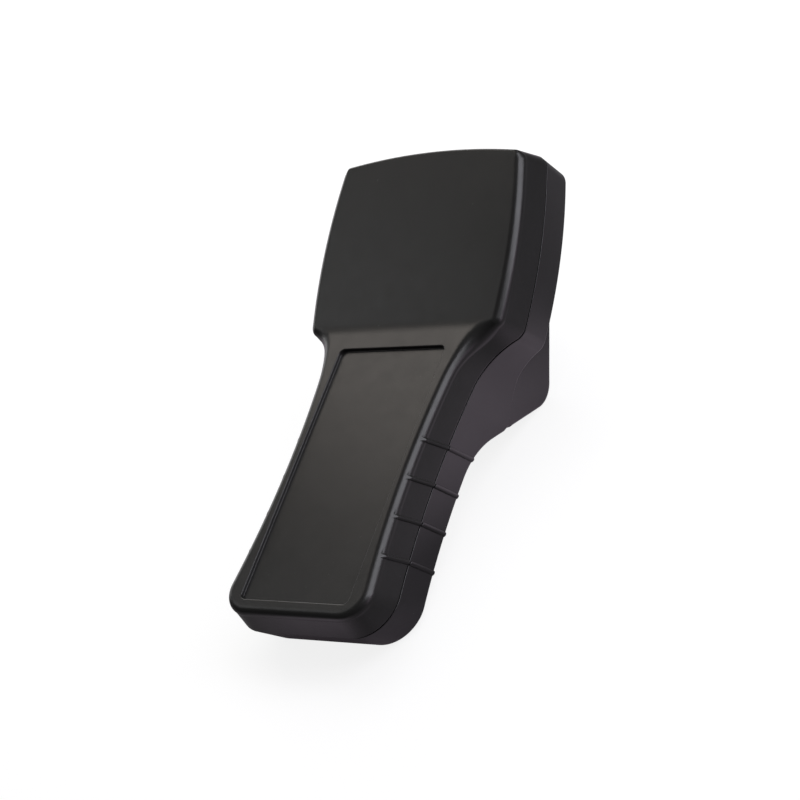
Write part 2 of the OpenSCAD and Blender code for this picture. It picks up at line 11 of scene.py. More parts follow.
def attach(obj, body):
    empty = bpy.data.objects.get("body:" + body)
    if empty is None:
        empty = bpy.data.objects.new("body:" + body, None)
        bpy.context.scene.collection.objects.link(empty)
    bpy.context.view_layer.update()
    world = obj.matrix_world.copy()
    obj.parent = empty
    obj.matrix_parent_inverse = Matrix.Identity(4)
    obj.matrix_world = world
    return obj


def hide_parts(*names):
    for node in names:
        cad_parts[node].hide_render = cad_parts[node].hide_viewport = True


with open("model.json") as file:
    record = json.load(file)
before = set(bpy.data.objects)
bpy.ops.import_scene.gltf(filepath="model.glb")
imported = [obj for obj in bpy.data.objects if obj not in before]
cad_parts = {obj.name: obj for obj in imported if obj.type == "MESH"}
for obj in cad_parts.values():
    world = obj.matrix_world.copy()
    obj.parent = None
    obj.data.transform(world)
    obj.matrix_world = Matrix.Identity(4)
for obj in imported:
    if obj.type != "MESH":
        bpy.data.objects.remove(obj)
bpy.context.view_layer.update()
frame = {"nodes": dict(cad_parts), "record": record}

MM = 0.001

# Body frame in millimetres: x across, y up the length from the fold line, z out of the display face.
# Head
HEAD_W, HEAD_H, HEAD_WIDEST = 104.8, 78.7, 28.3
HEAD_SIDE_R, HEAD_TOP_R, CORNER_R = 256, 311, 4.8
# Shoulder and handle
SHOULDER_R, SHOULDER_END, SHOULDER_SWELL = 33, 24.8, 3
SWELL_SKEW, TOP_SKEW = 2.5, 4
WAIST_W, WAIST_BELOW, HANDLE_SIDE_R = 66.8, 63.7, 388
HANDLE_LEN, HEEL_R = 133, 13.5
FOLD, FOLD_R = math.radians(15.9), 22
# Shells
FRONT_DEPTH, HEAD_DEPTH, HANDLE_DEPTH, WALL = 14.4, 31.9, 33.2, 2.4
FLARE, REAR_LEAN, REAR_STEP = 2.6, 0.9, 0.1
SHADOW_H, SHADOW_D, RIM_CLEAR = 0.7, 0.9, 0.1
EDGE_R, TOP_EDGE_R, BACK_EDGE_R, INNER_R = 4, 1, 2, 1.4
RIM_R = 0.25
# Hump
PEAK = np.array([-13.8, -63.4])
PEAK_R, FOOT_R, TOE_R = 10, 40, 25
RAMP, SWEEP, LEDGE = math.radians(22.4), math.radians(52), math.radians(8)
FLANK_FLARE, FLANK_DRAFT = math.tan(math.radians(4.6)), math.tan(math.radians(2))
HUMP_EDGE_R = 2.4
# The back edge's radius takes at most this share of the ledge
LEDGE_SHARE = 0.8
# Keypad recess
RECESS_W, RECESS_TOP, RECESS_END, RECESS_D, RECESS_R = 56, 9.8, 124.4, 1.7, 2.6
FLOOR_T, HEEL_LEAN = 1.4, 1.8
LIP_R, ROOT_R = 0.4, 0.25
# Grip ribs
RIB_COUNT, RIB_FIRST, RIB_PITCH, RIB_W, RIB_H = 4, 52.4, 16.9, 2, 0.8
RIB_FADE = 4
# Case screws
SCREW_XY = ((39, 68.6), (25, -61), (26, -117))
BORE_R, HEAD_BORE_R, THREAD_R = 1.7, 3.0, 1.4
BOSS_R, POST_R, COUNTERBORE_D, THREAD_LEN = 4.5, 3.0, 6, 7.2
# Battery bay
CELLS_W, CELLS_L, CELLS_D = 58.5, 56.5, 15
COVER_T, COVER_SEAT, COVER_GAP, COVER_R = 2, 1.4, 0.25, 3
LUG_L, LUG_W, BAY_WALL, BAY_START = 7.5, 7, 1.6, 6.8
TAB_W, TAB_T, TAB_REACH = 9, 1.2, 1.2
COVER_BORE_R, COVER_HEAD_R, COVER_SINK, COVER_PILOT_R = 1.45, 2.5, 1.2, 1.15
GRIP_COUNT, GRIP_FIRST, GRIP_PITCH, GRIP_W, GRIP_T, GRIP_D = 5, 6, 2.4, 22, 1, 0.6
GRIP_LIP, GRIP_DRAFT = 0.3, 0.2
# Smallest step between neighbouring points, and the width of the flat strip kept beside a rounded edge
HAIR, STRIP = 0.05, 0.3
# Points along each stretch of the outline, from the heel to the middle of the top
HEEL_STEPS, LOW_STEPS, RIB_STEPS, GAP_STEPS, NECK_STEPS = 28, 6, 15, 5, 18
SWEEP_STEPS, SHOULDER_STEPS, SIDE_STEPS, CORNER_STEPS, TOP_STEPS = 44, 28, 24, 20, 20
# Points round a quarter turn of the front edge, the back edge, a lip and a small edge, and round a whole hole
EDGE_STEPS, BACK_STEPS, LIP_STEPS, FINE_STEPS, HOLE_STEPS = 14, 8, 5, 4, 48
# Shares of the way down the front wall: close to both ends, so that the rounded edges shade only there
WALL_SHARES = (0.03, 0.3, 0.65, 0.97, 1)
# Height up the head where the record's display mount sits
DISPLAY_MID = 35

# Rest pose: the tilt and the shift from body to row frame follow the display mount
display = next(m for m in frame["record"]["mounts"] if m["name"] == "display_face")
tilt = math.atan2(-display["axis"][1], display["axis"][2])
REST = np.array([[1, 0, 0],
                 [0, math.cos(tilt), -math.sin(tilt)],
                 [0, math.sin(tilt), math.cos(tilt)]])
SHIFT = np.array(display["pos_m"]) / MM - REST @ [0, DISPLAY_MID, 0]


def to_row(points):
    return (np.asarray(points, float) @ REST.T + SHIFT) * MM


# Heights along the length
def corner_z(y, corner, slope_a, slope_b, r):
    """Two lines through corner with slopes a, then b, rounded by r."""
    way = np.sign(slope_b - slope_a)
    run = r * math.tan(abs(slope_b - slope_a) / 2)
    y1 = corner[0] - run * math.cos(slope_a)
    y2 = corner[0] + run * math.cos(slope_b)
    oy = y1 - way * r * math.sin(slope_a)
    oz = corner[1] - run * math.sin(slope_a) + way * r * math.cos(slope_a)
    curve = oz - way * np.sqrt(np.maximum(0, r * r - (y - oy) ** 2))
    before = corner[1] + (y - corner[0]) * math.tan(slope_a)
    after = corner[1] + (y - corner[0]) * math.tan(slope_b)
    return np.where(y <= y1, before, np.where(y >= y2, after, curve))


def lines_meet(p, slope_p, q, slope_q):
    tp, tq = math.tan(slope_p), math.tan(slope_q)
    y = (q[1] - p[1] + p[0] * tp - q[0] * tq) / (tp - tq)
    return np.array([y, p[1] + (y - p[0]) * tp])


FOOT = lines_meet((0, -HANDLE_DEPTH), -FOLD, PEAK, -SWEEP)
TOE = lines_meet(PEAK, RAMP, (0, -HEAD_DEPTH), 0)


def front_z(y):
    return corner_z(y, (0, 0), -FOLD, 0, FOLD_R)


def core_z(y):
    low = corner_z(y, FOOT, -FOLD, -SWEEP, FOOT_R)
    mid = corner_z(y, PEAK, -SWEEP, RAMP, PEAK_R)
    high = corner_z(y, TOE, RAMP, 0, TOE_R)
    return np.where(y < (FOOT[0] + PEAK[0]) / 2, low, np.where(y < (PEAK[0] + TOE[0]) / 2, mid, high))


def back_z(y):
    return np.maximum(core_z(y), corner_z(y, (0, -HEAD_DEPTH), LEDGE, 0, FOLD_R))


# Plan outline of the right half, from the handle's end to the middle of the top: x, y, normal
def circles_meet(a, ra, b, rb, side):
    length = np.linalg.norm(b - a)
    u = (b - a) / length
    t = (ra * ra - rb * rb + length * length) / (2 * length)
    return a + t * u + side * math.sqrt(ra * ra - t * t) * np.array([-u[1], u[0]])


def bearing(v):
    return math.atan2(v[1], v[0])


def arc(centre, r, start, end, count, way=1):
    a = start + (end - start) * np.arange(1, count + 1) / count
    c, s = np.cos(a), np.sin(a)
    return np.column_stack([centre[0] + r * c, centre[1] + r * s, way * c, way * s])


def spread(a, b, count):
    return list(a + (b - a) * np.arange(1, count + 1) / count)


def rib(y):
    lifts = [RIB_H * np.sqrt(np.maximum(0, 1 - (2 * (y + RIB_FIRST + i * RIB_PITCH) / RIB_W) ** 2))
             for i in range(RIB_COUNT)]
    return np.max(lifts, axis=0)


HAND_O = np.array([WAIST_W / 2 + HANDLE_SIDE_R, -WAIST_BELOW])
SWEEP_SLOPE = (WAIST_BELOW - SHOULDER_END) / HANDLE_SIDE_R


def hand_points(ys):
    d = np.asarray(ys) - HAND_O[1]
    x = np.sqrt(HANDLE_SIDE_R ** 2 - d * d)
    return np.column_stack([HAND_O[0] - x, ys, x / HANDLE_SIDE_R, -d / HANDLE_SIDE_R])


def plan_outline():
    head_o = np.array([HEAD_W / 2 - HEAD_SIDE_R, HEAD_WIDEST])
    top_o = np.array([0, HEAD_H - HEAD_TOP_R])
    heel_y = HEEL_R - HANDLE_LEN
    heel_x = HAND_O[0] - math.sqrt((HANDLE_SIDE_R + HEEL_R) ** 2 - (heel_y - HAND_O[1]) ** 2)
    heel_o = np.array([heel_x, heel_y])
    heel_turn = bearing(HAND_O - heel_o)
    sweep_turn = math.asin(SWEEP_SLOPE)
    sweep_o = HAND_O + (HANDLE_SIDE_R - SHOULDER_R) * np.array([-math.cos(sweep_turn), math.sin(sweep_turn)])
    low_o = circles_meet(sweep_o, SHOULDER_R + CORNER_R, head_o, HEAD_SIDE_R - CORNER_R, -1)
    high_o = circles_meet(head_o, HEAD_SIDE_R - CORNER_R, top_o, HEAD_TOP_R - CORNER_R, 1)
    ribs = [-RIB_FIRST - i * RIB_PITCH for i in reversed(range(RIB_COUNT))]
    marks = -np.cos(np.linspace(0, math.pi, RIB_STEPS)) * RIB_W / 2
    ys = spread(heel_y + HEEL_R * math.sin(heel_turn), ribs[0] - RIB_W, LOW_STEPS)
    for i, mid in enumerate(ribs):
        ys += list(mid + marks)
        end = ribs[i + 1] - RIB_W if i + 1 < RIB_COUNT else -SHOULDER_END
        ys += spread(mid + RIB_W / 2, end, GAP_STEPS if i + 1 < RIB_COUNT else NECK_STEPS)
    return np.vstack([
        [[heel_x, -HANDLE_LEN, 0, -1]],
        arc(heel_o, HEEL_R, -math.pi / 2, heel_turn, HEEL_STEPS),
        hand_points(ys),
        arc(sweep_o, SHOULDER_R, math.pi - sweep_turn, bearing(low_o - sweep_o) % (2 * math.pi),
            SWEEP_STEPS, -1),
        arc(low_o, CORNER_R, bearing(sweep_o - low_o), bearing(low_o - head_o), SHOULDER_STEPS),
        arc(head_o, HEAD_SIDE_R, bearing(low_o - head_o), bearing(high_o - head_o), SIDE_STEPS),
        arc(high_o, CORNER_R, bearing(high_o - head_o), bearing(high_o - top_o), CORNER_STEPS),
        arc(top_o, HEAD_TOP_R, bearing(high_o - top_o), math.pi / 2, TOP_STEPS)])


OUTLINE = plan_outline()
HALF = len(OUTLINE)
LOOP = 2 * HALF - 1
REAR_TOP_IN = REAR_STEP - FLARE
REAR_BACK_IN = REAR_TOP_IN + REAR_LEAN


def hump_x(y):
    return hand_points([-SHOULDER_END])[0][0] - REAR_BACK_IN + (y + SHOULDER_END) * FLANK_FLARE


def back_radius():
    x, y, nx, _ = OUTLINE.T
    ledge = x - REAR_BACK_IN * nx - hump_x(y)
    free = 1 - np.minimum(1, (back_z(y) - core_z(y)) / (2 * BACK_EDGE_R))
    beside = np.minimum(BACK_EDGE_R, LEDGE_SHARE * ledge)
    return np.maximum.reduce([np.full(HALF, HAIR), BACK_EDGE_R * free, beside])


def front_radius():
    """Radius of the front edge: it swells along the shoulder's sweep, and shrinks along the head's top."""
    y, ny = OUTLINE[:, 1], OUTLINE[:, 3]
    above = y > -SHOULDER_END
    top = np.argmin(np.where(above, ny, 0))
    t = np.clip((-ny - SWEEP_SLOPE) / (-ny[top] - SWEEP_SLOPE), 0, 1)
    swell = np.where(above & (y < y[top]), SHOULDER_SWELL * np.sin(math.pi * t ** SWELL_SKEW), 0)
    return EDGE_R + swell - (EDGE_R - TOP_EDGE_R) * np.maximum(0, ny) ** TOP_SKEW


BACK_R, FRONT_R = back_radius(), front_radius()
INNER_FRONT_R = np.maximum(INNER_R, FRONT_R - EDGE_R + INNER_R)
FACE_IN = np.where(OUTLINE[:, 1] < -SHOULDER_END, HEEL_LEAN * np.minimum(0, OUTLINE[:, 3]) ** 2, 0)


def ring(inset, height, lift, ribbing=0, round_in=0, round_up=0, radius=BACK_R, lean=0):
    """A closed loop round the part: inset from the outline, at a height that follows y."""
    x, y, nx, ny = OUTLINE.T
    s = inset + round_in * radius + lean - ribbing * rib(y - lean * ny)
    y = y - s * ny
    right = np.column_stack([x - s * nx, y, height(y) + lift + round_up * radius])
    return np.vstack([right, (right * [-1, 1, 1])[-2::-1]])


def face_ring(inset, lift, a, ribbing=0, radius=FRONT_R):
    """A ring round the front edge, at an angle over it: drawn in at the heel, whose end wall leans more."""
    return ring(inset, front_z, lift, ribbing, 1 - math.sin(a), math.cos(a) - 1, radius, FACE_IN)


# Meshes from rings
def band(first, second, count):
    return [(first + i, first + (i + 1) % count, second + (i + 1) % count, second + i) for i in range(count)]


def quarter(count):
    return [math.pi / 2 * i / count for i in range(count + 1)]


class Build:
    """Collects points and faces of one closed mesh, in the body frame."""

    def __init__(self):
        self.points, self.faces = [], []

    def add(self, points):
        base = len(self.points)
        self.points.extend(map(tuple, points))
        return base

    def stack(self, rings):
        bases = [self.add(r) for r in rings]
        for a, b, r in zip(bases, bases[1:], rings):
            self.faces += band(a, b, len(r))
        return bases

    def piece(self, name):
        mesh = bpy.data.meshes.new(name)
        mesh.from_pydata(to_row(self.points).tolist(), [], self.faces)
        bm = bmesh.new()
        bm.from_mesh(mesh)
        bmesh.ops.recalc_face_normals(bm, faces=bm.faces)
        bm.to_mesh(mesh)
        bm.free()
        obj = bpy.data.objects.new(name, mesh)
        bpy.context.scene.collection.objects.link(obj)
        return obj


def inside(points, loop):
    """Which plan points lie inside a closed plan loop."""
    x, y = points[:, 0:1], points[:, 1:2]
    x1, y1 = loop[:, 0], loop[:, 1]
    x2, y2 = np.roll(x1, -1), np.roll(y1, -1)
    crosses = (y1 > y) != (y2 > y)
    at = x1 + (y - y1) * (x2 - x1) / np.where(y2 == y1, 1, y2 - y1)
    return (np.sum(crosses & (x < at), axis=1) % 2).astype(bool)


# Lines run across the face this far on both sides of the fold
FOLD_ZONE = 4


def fill_face(build, base, rim, hole_base=None, hole=None):
    """Triangles over the face inside a ring, with lines across the fold and an optional hole."""
    count = len(rim)
    plan = [rim[:, :2]]
    index = list(range(base, base + count))
    edges = [(i, (i + 1) % count) for i in range(count)]
    edges += [(i, count - 1 - i) for i in range(1, HALF - 1) if abs(rim[i, 1]) < FOLD_ZONE]
    if hole is not None:
        plan.append(hole[:, :2])
        index += list(range(hole_base, hole_base + len(hole)))
        edges += [(count + i, count + (i + 1) % len(hole)) for i in range(len(hole))]
    plan = np.vstack(plan)
    found = delaunay_2d_cdt([Vector(p) for p in plan], edges, [], 0, 1e-6)
    origin = [o[0] for o in found[3]]
    triangles = np.array([[origin[k] for k in f] for f in found[2]])
    middle = plan[triangles].mean(axis=1)
    keep = inside(middle, rim[:, :2])
    if hole is not None:
        keep &= ~inside(middle, hole[:, :2])
    build.faces += [tuple(index[k] for k in f) for f in triangles[keep]]


# Keypad recess, square to the handle's face
RECESS_MID = (RECESS_TOP + RECESS_END) / 2
RECESS_L = (RECESS_END - RECESS_TOP) / math.cos(FOLD)
ALONG = np.array([0, math.cos(FOLD), -math.sin(FOLD)])
OUT = np.array([0, math.sin(FOLD), math.cos(FOLD)])


def rounded_loop(w, l, r, steps=10):
    """Counter-clockwise rounded rectangle in a plane."""
    points = []
    for k, (sx, sy) in enumerate(((1, 1), (-1, 1), (-1, -1), (1, -1))):
        for a in quarter(steps):
            turn = a + k * math.pi / 2
            points.append((sx * (w / 2 - r) + r * math.cos(turn), sy * (l / 2 - r) + r * math.sin(turn)))
    return np.array(points)


def recess_ring(grow, depth):
    loop = rounded_loop(RECESS_W + 2 * grow, RECESS_L + 2 * grow, RECESS_R + grow)
    origin = np.array([0, -RECESS_MID, float(front_z(-RECESS_MID))])
    return origin + loop[:, :1] * [1, 0, 0] + loop[:, 1:] * ALONG - depth * OUT


FLOOR_MID = (WALL + RECESS_D) / 2


def recess_floor():
    """Thicker floor behind the recess, inside the shell."""
    build = Build()
    bases = build.stack([recess_ring(FLOOR_T, FLOOR_MID), recess_ring(FLOOR_T, RECESS_D + FLOOR_T)])
    count = bases[1] - bases[0]
    build.faces += [tuple(range(b, b + count)) for b in bases]
    return build.piece("recess_floor")


def front_shell_build():
    build = Build()
    outer = [face_ring(STRIP, 0, 0)]
    outer += [face_ring(0, 0, a, max(0, 1 + RIB_FADE * (math.sin(a) - 1))) for a in quarter(EDGE_STEPS)]
    edge, rim = outer[-1], ring(-FLARE, front_z, -FRONT_DEPTH + RIM_R, 1)
    outer += [edge + (rim - edge) * t for t in WALL_SHARES]
    outer += [ring(-FLARE + RIM_R * (1 - math.cos(a)), front_z, -FRONT_DEPTH + RIM_R * (1 - math.sin(a)), 1)
              for a in quarter(FINE_STEPS)[1:]]
    outer += [ring(WALL - FLARE, front_z, -FRONT_DEPTH)]
    outer += [face_ring(WALL, -WALL, a, 0, INNER_FRONT_R) for a in reversed(quarter(FINE_STEPS))]
    bases = build.stack(outer)
    sunk = [recess_ring(LIP_R + STRIP, 0)]
    sunk += [recess_ring(LIP_R * (1 - math.sin(a)), LIP_R * (1 - math.cos(a))) for a in quarter(LIP_STEPS)]
    sunk += [recess_ring(-ROOT_R * (1 - math.cos(a)), RECESS_D - ROOT_R * (1 - math.sin(a)))
             for a in quarter(FINE_STEPS)]
    sunk += [recess_ring(-ROOT_R - STRIP, RECESS_D)]
    recess_bases = build.stack(sunk)
    build.faces.append(tuple(range(recess_bases[-1], recess_bases[-1] + len(sunk[-1]))))
    fill_face(build, bases[0], outer[0], recess_bases[0], sunk[0])
    fill_face(build, bases[-1], outer[-1])
    return build


# Rear face with the hump: rungs from side to side, with extra points along the flank and round its edge
RUNG_GAP, RUNG_SHARE, RUNG_STEPS = 1.2, 0.1, 7
# The flat strips take at most these shares of the ledge and of the half width inside the hump's edge
LEDGE_STRIP, BACK_STRIP = 0.4, 0.2


def rung_points(edge, lift, inset):
    """Points across each rung, from right to left, between the two ends on the ring."""
    x, y = edge[1:HALF - 1, 0], edge[1:HALF - 1, 1]
    base, core = back_z(y), core_z(y)
    rise = base - core
    r = np.minimum(HUMP_EDGE_R, rise / 2)
    gap = HAIR + np.minimum(RUNG_GAP, x * RUNG_SHARE) * (1 - np.minimum(1, rise / HUMP_EDGE_R))
    foot = np.minimum(hump_x(y) - inset, x - gap)
    top = foot - rise * FLANK_DRAFT - gap
    columns = [(x - np.minimum(STRIP, (x - foot) * LEDGE_STRIP), base), (foot, base)]
    for k, a in enumerate(quarter(RUNG_STEPS)):
        columns.append((top - r * (1 - math.cos(a)) - 2 * gap * k / RUNG_STEPS, core + r * (1 - math.sin(a))))
    last = columns[-1][0]
    columns.append((last - np.minimum(STRIP, BACK_STRIP * last), core))
    xs = np.column_stack([c[0] for c in columns])
    zs = np.column_stack([c[1] for c in columns]) + lift
    xs = np.hstack([xs, -xs[:, ::-1]])
    zs = np.hstack([zs, zs[:, ::-1]])
    return np.dstack([xs, np.repeat(y[:, None], xs.shape[1], axis=1), zs])


def rung_cap(build, base, edge, lift, inset):
    grid = rung_points(edge, lift, inset)
    rows, width = grid.shape[:2]
    start = build.add(grid.reshape(-1, 3))
    lines = [[base + i + 1] + list(range(start + i * width, start + (i + 1) * width)) + [base + LOOP - 2 - i]
             for i in range(rows)]
    first, last = lines[0], lines[-1]
    build.faces.append(tuple([base, base + LOOP - 1] + first[::-1]))
    for a, b in zip(lines, lines[1:]):
        build.faces += [(a[k], a[k + 1], b[k + 1], b[k]) for k in range(width + 1)]
    build.faces.append(tuple(last + [base + HALF - 1]))


def rear_shell_build():
    build = Build()
    inner = REAR_BACK_IN + WALL
    rings = [ring(inner + INNER_R * (1 - math.sin(a)), back_z, WALL + INNER_R * (1 - math.cos(a)))
             for a in quarter(FINE_STEPS)]
    rings += [ring(REAR_TOP_IN + WALL, front_z, -FRONT_DEPTH - RIM_CLEAR),
              ring(REAR_TOP_IN + SHADOW_D, front_z, -FRONT_DEPTH - RIM_CLEAR),
              ring(REAR_TOP_IN + SHADOW_D, front_z, -FRONT_DEPTH - SHADOW_H)]
    rings += [ring(REAR_TOP_IN + RIM_R * (1 - math.sin(a)), front_z,
                   -FRONT_DEPTH - SHADOW_H - RIM_R * (1 - math.cos(a)), math.sin(a))
              for a in quarter(FINE_STEPS)]
    rings += [ring(REAR_TOP_IN, front_z, -FRONT_DEPTH - SHADOW_H - RIM_R - STRIP, 1)]
    rings += [ring(REAR_BACK_IN, back_z, 0, min(1, 2 * math.cos(a)), 1 - math.cos(a), 1 - math.sin(a))
              for a in quarter(BACK_STEPS)]
    bases = build.stack(rings)
    rung_cap(build, bases[0], rings[0], WALL, WALL)
    rung_cap(build, bases[-1], rings[-1], 0, 0)
    return build


# Posts, bores and blocks, as closed meshes in the body frame
def tube(spot, r, low, high, steps=HOLE_STEPS):
    """An upright round post at a plan spot, its ends following two heights."""
    a = np.arange(steps) * 2 * math.pi / steps
    x, y = spot[0] + r * np.cos(a), spot[1] + r * np.sin(a)
    build = Build()
    bases = build.stack([np.column_stack([x, y, low(y)]), np.column_stack([x, y, high(y)])])
    build.faces += [tuple(range(b, b + steps)) for b in bases]
    return build.piece("tool")


BAY_W = CELLS_W + 2 * COVER_SEAT + 2 * BAY_WALL
COVER_W, COVER_L = CELLS_W + 2 * COVER_SEAT, CELLS_L + 2 * COVER_SEAT + LUG_L
BAY_L = COVER_L + 2 * BAY_WALL
BAY_MID = BAY_START + BAY_L / 2
BAY_DEEP = COVER_T + CELLS_D
POCKET_Y, LUG_Y = LUG_L / 2, (LUG_L - COVER_L) / 2
SKIN = WALL * math.cos(RAMP)
HUMP_O = np.array([0, PEAK[0] + BAY_MID * math.cos(RAMP), PEAK[1] + BAY_MID * math.sin(RAMP)])
UP_RAMP = np.array([0, math.cos(RAMP), math.sin(RAMP)])
INWARD = np.array([0, -math.sin(RAMP), math.cos(RAMP)])


def on_hump(x, y, z):
    """Body point of a place on the hump's slope: across, up the slope, into the part."""
    x, y, z = np.broadcast_arrays(x, y, z)
    return HUMP_O + x[..., None] * [1, 0, 0] + y[..., None] * UP_RAMP + z[..., None] * INWARD


def hump_prism(loops, name="tool"):
    """A closed stack of loops of one length: each is a plan loop and a depth below the slope."""
    build = Build()
    bases = build.stack([on_hump(loop[:, 0], loop[:, 1], depth) for loop, depth in loops])
    for b in (bases[0], bases[-1]):
        build.faces.append(tuple(range(b, b + len(loops[0][0]))))
    return build.piece(name)


def hump_block(x, y, w, l, z0, z1):
    loop = np.array([[x + sx * w / 2, y + sy * l / 2] for sx, sy in ((1, 1), (-1, 1), (-1, -1), (1, -1))])
    return hump_prism([(loop, z0), (loop, z1)])


def hump_bore(r, z0, z1, steps=HOLE_STEPS):
    a = np.arange(steps) * 2 * math.pi / steps
    loop = np.column_stack([r * np.cos(a), LUG_Y + r * np.sin(a)])
    return hump_prism([(loop, z0), (loop, z1)])


def combine(obj, tools, operation):
    """Joins tools to obj, or cuts them out of it, and removes them."""
    for tool in tools:
        step = obj.modifiers.new("step", "BOOLEAN")
        step.operation = operation
        step.solver = "MANIFOLD"
        step.object = tool
    graph = bpy.context.evaluated_depsgraph_get()
    mesh = bpy.data.meshes.new_from_object(obj.evaluated_get(graph))
    obj.modifiers.clear()
    obj.data = mesh
    for tool in tools:
        bpy.data.objects.remove(tool)


# Edges that turn more than this are drawn sharp
SHARP = math.radians(32)


def smooth(obj):
    obj.data.polygons.foreach_set("use_smooth", [True] * len(obj.data.polygons))
    obj.data.set_sharp_from_angle(angle=SHARP)


SPOTS = [(s * x, y) for s in (-1, 1) for x, y in SCREW_XY]
# How far a cutter runs past the wall
REACH = 10


def part_z(y):
    return front_z(y) - FRONT_DEPTH


def seat_z(spot):
    return float(core_z(spot[1])) + COUNTERBORE_D


def level(z):
    return lambda y: np.full(len(y), z)


def make_front_shell():
    shell = front_shell_build().piece("front_case")
    posts = [tube(p, POST_R, part_z, lambda y: front_z(y) - FLOOR_MID) for p in SPOTS]
    combine(shell, [recess_floor(), *posts], "UNION")
    combine(shell, [tube(p, THREAD_R, lambda y: part_z(y) - REACH, level(float(part_z(p[1])) + THREAD_LEN))
                    for p in SPOTS], "DIFFERENCE")
    smooth(shell)
    return shell


def tab_blocks(grow, far):
    root = POCKET_Y + CELLS_L / 2 - TAB_T
    return [hump_block(s * CELLS_W / 4, (far + root - grow) / 2, TAB_W + 2 * grow, far - root + grow,
                       SKIN + COVER_GAP - grow, SKIN + COVER_GAP + TAB_T + grow) for s in (-1, 1)]


def make_rear_shell():
    shell = rear_shell_build().piece("rear_case")
    posts = [tube(p, BOSS_R, lambda y: core_z(y) + WALL / 2, lambda y: part_z(y) - RIM_CLEAR) for p in SPOTS]
    combine(shell, posts + [hump_block(0, 0, BAY_W, BAY_L, SKIN / 2, BAY_DEEP + BAY_WALL)], "UNION")
    cuts = [tube(p, BORE_R, lambda y: core_z(y) - REACH, lambda y: part_z(y) + REACH) for p in SPOTS]
    cuts += [tube(p, HEAD_BORE_R, lambda y: core_z(y) - REACH, level(seat_z(p))) for p in SPOTS]
    seat = rounded_loop(COVER_W + 2 * COVER_GAP, COVER_L + 2 * COVER_GAP, COVER_R + COVER_GAP)
    cuts.append(hump_prism([(seat, -WALL), (seat, COVER_T)]))
    cuts.append(hump_block(0, POCKET_Y, CELLS_W, CELLS_L, 0, BAY_DEEP))
    core_w = (CELLS_W - LUG_W) / 2
    core_x, core_y = (CELLS_W + LUG_W) / 4, LUG_Y - BAY_WALL / 2
    cuts += [hump_block(s * core_x, core_y, core_w, LUG_L - BAY_WALL, 0, BAY_DEEP) for s in (-1, 1)]
    cuts += tab_blocks(COVER_GAP, BAY_L / 2 + BAY_WALL)
    cuts.append(hump_bore(COVER_PILOT_R, 0, BAY_DEEP))
    combine(shell, cuts, "DIFFERENCE")
    smooth(shell)
    return shell


COVER_EDGE_R = 0.4


def make_cover():
    rings = [(rounded_loop(COVER_W - 2 * g, COVER_L - 2 * g, COVER_R - g), z) for g, z in
             [(0, COVER_T)] + [(COVER_EDGE_R * (1 - math.cos(a)), COVER_EDGE_R * (1 - math.sin(a)))
                               for a in quarter(LIP_STEPS)] + [(COVER_EDGE_R + STRIP, 0)]]
    cover = hump_prism(rings, "battery_door")
    stems = [hump_block(s * CELLS_W / 4, POCKET_Y + CELLS_L / 2 - TAB_T / 2, TAB_W, TAB_T, COVER_T / 2,
                        SKIN + COVER_GAP + TAB_T) for s in (-1, 1)]
    combine(cover, tab_blocks(0, COVER_L / 2 + TAB_REACH) + stems, "UNION")
    cuts = [hump_bore(COVER_BORE_R, -REACH, REACH), hump_bore(COVER_HEAD_R, -REACH, COVER_SINK)]
    for i in range(GRIP_COUNT):
        y = COVER_L / 2 - GRIP_FIRST - i * GRIP_PITCH
        loops = [(rounded_loop(GRIP_W + 2 * g, GRIP_T + 2 * g, GRIP_T / 2 + g - HAIR, 6) + [0, y], z)
                 for g, z in ((GRIP_LIP, -GRIP_LIP), (0, 0), (-GRIP_DRAFT, GRIP_D))]
        cuts.append(hump_prism(loops))
    combine(cover, cuts, "DIFFERENCE")
    smooth(cover)
    return cover


# Materials
def new_material(name):
    material = bpy.data.materials.new(name)
    material.use_nodes = True
    nodes, links = material.node_tree.nodes, material.node_tree.links
    return material, nodes, links, nodes["Principled BSDF"]


def noise(nodes, links, place, scale, detail=3, rough=0.5):
    node = nodes.new("ShaderNodeTexNoise")
    node.inputs["Scale"].default_value = scale
    node.inputs["Detail"].default_value = detail
    node.inputs["Roughness"].default_value = rough
    links.new(place.outputs["Object"], node.inputs["Vector"])
    return node


def spread_to(nodes, links, source, low, high, start=0.3, stop=0.7):
    node = nodes.new("ShaderNodeMapRange")
    node.inputs["From Min"].default_value = start
    node.inputs["From Max"].default_value = stop
    node.inputs["To Min"].default_value = low
    node.inputs["To Max"].default_value = high
    links.new(source, node.inputs["Value"])
    return node.outputs["Result"]


def maths(nodes, links, operation, first, second):
    node = nodes.new("ShaderNodeMath")
    node.operation = operation
    links.new(first, node.inputs[0])
    if isinstance(second, float):
        node.inputs[1].default_value = second
    else:
        links.new(second, node.inputs[1])
    return node.outputs["Value"]


def blend_colour(nodes, links, factor, first, second):
    node = nodes.new("ShaderNodeMix")
    node.data_type = "RGBA"
    links.new(factor, node.inputs["Factor"])
    for socket, value in ((node.inputs[6], first), (node.inputs[7], second)):
        if isinstance(value, tuple):
            socket.default_value = (*value, 1)
        else:
            links.new(value, socket)
    return node.outputs[2]


def bump(nodes, links, height, strength, distance, under=None):
    node = nodes.new("ShaderNodeBump")
    node.inputs["Strength"].default_value = strength
    node.inputs["Distance"].default_value = distance
    links.new(height, node.inputs["Height"])
    if under:
        links.new(under, node.inputs["Normal"])
    return node.outputs["Normal"]


